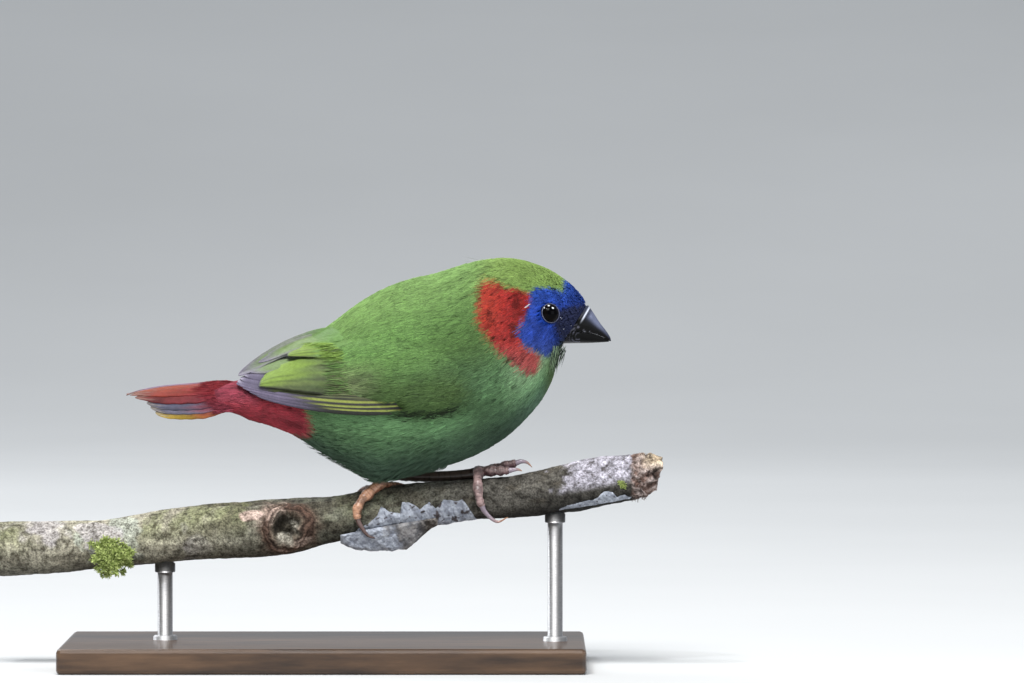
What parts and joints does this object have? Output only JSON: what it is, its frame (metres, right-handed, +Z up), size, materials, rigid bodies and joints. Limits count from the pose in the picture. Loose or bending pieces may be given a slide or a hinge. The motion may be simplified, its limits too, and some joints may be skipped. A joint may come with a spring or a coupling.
{
  "type": "perched songbird display model",
  "caption": "Small green finch-like songbird with a blue face, red ear patch and red tail, gripping a lichened branch on a plain display stand.",
  "frame": {"origin": "under the middle of the whole model, on the surface that the stand rests on", "axes": "+Z up, +X the way the bird faces and along the branch, -Y the bird's right side"},
  "size_m": [0.1348, 0.06, 0.0815],
  "materials": {
    "body_green": "fine green feathers, matte",
    "face_blue": "short deep blue feathers, matte",
    "rump_red": "loose dark red feathers, matte",
    "tail_red": "long red tail feathers with blue grey inner webs",
    "wing_olive": "flight feathers, olive with yellow green edges",
    "bill_horn": "smooth black horn, satin",
    "eye": "wet black, glossy",
    "leg_scutes": "orange brown to purple scutes, satin",
    "claw_horn": "smooth horn, satin",
    "bark": "grey brown bark with lichen and moss",
    "stand_wood": "dark wood, satin varnish",
    "stand_steel": "brushed"
  },
  "bodies": {
    "root": {"torso": "body_green", "neck": "body_green", "thigh_right": "body_green", "thigh_left": "body_green", "head": "face_blue", "rump": "rump_red", "tail": "tail_red", "wing_right": "wing_olive", "wing_left": "wing_olive", "bill_upper": "bill_horn", "bill_lower": "bill_horn", "eye_right": "eye", "eye_left": "eye", "leg_right": "leg_scutes", "leg_left": "leg_scutes", "foot_right": "leg_scutes", "foot_left": "leg_scutes", "claw_right_outer": "claw_horn", "claw_right_middle": "claw_horn", "claw_right_inner": "claw_horn", "claw_right_hind": "claw_horn", "claw_left_outer": "claw_horn", "claw_left_middle": "claw_horn", "claw_left_inner": "claw_horn", "claw_left_hind": "claw_horn", "perch": "bark", "stand_base": "stand_wood", "stand_rod_rear": "stand_steel", "stand_rod_front": "stand_steel"}
  },
  "joints": []
}
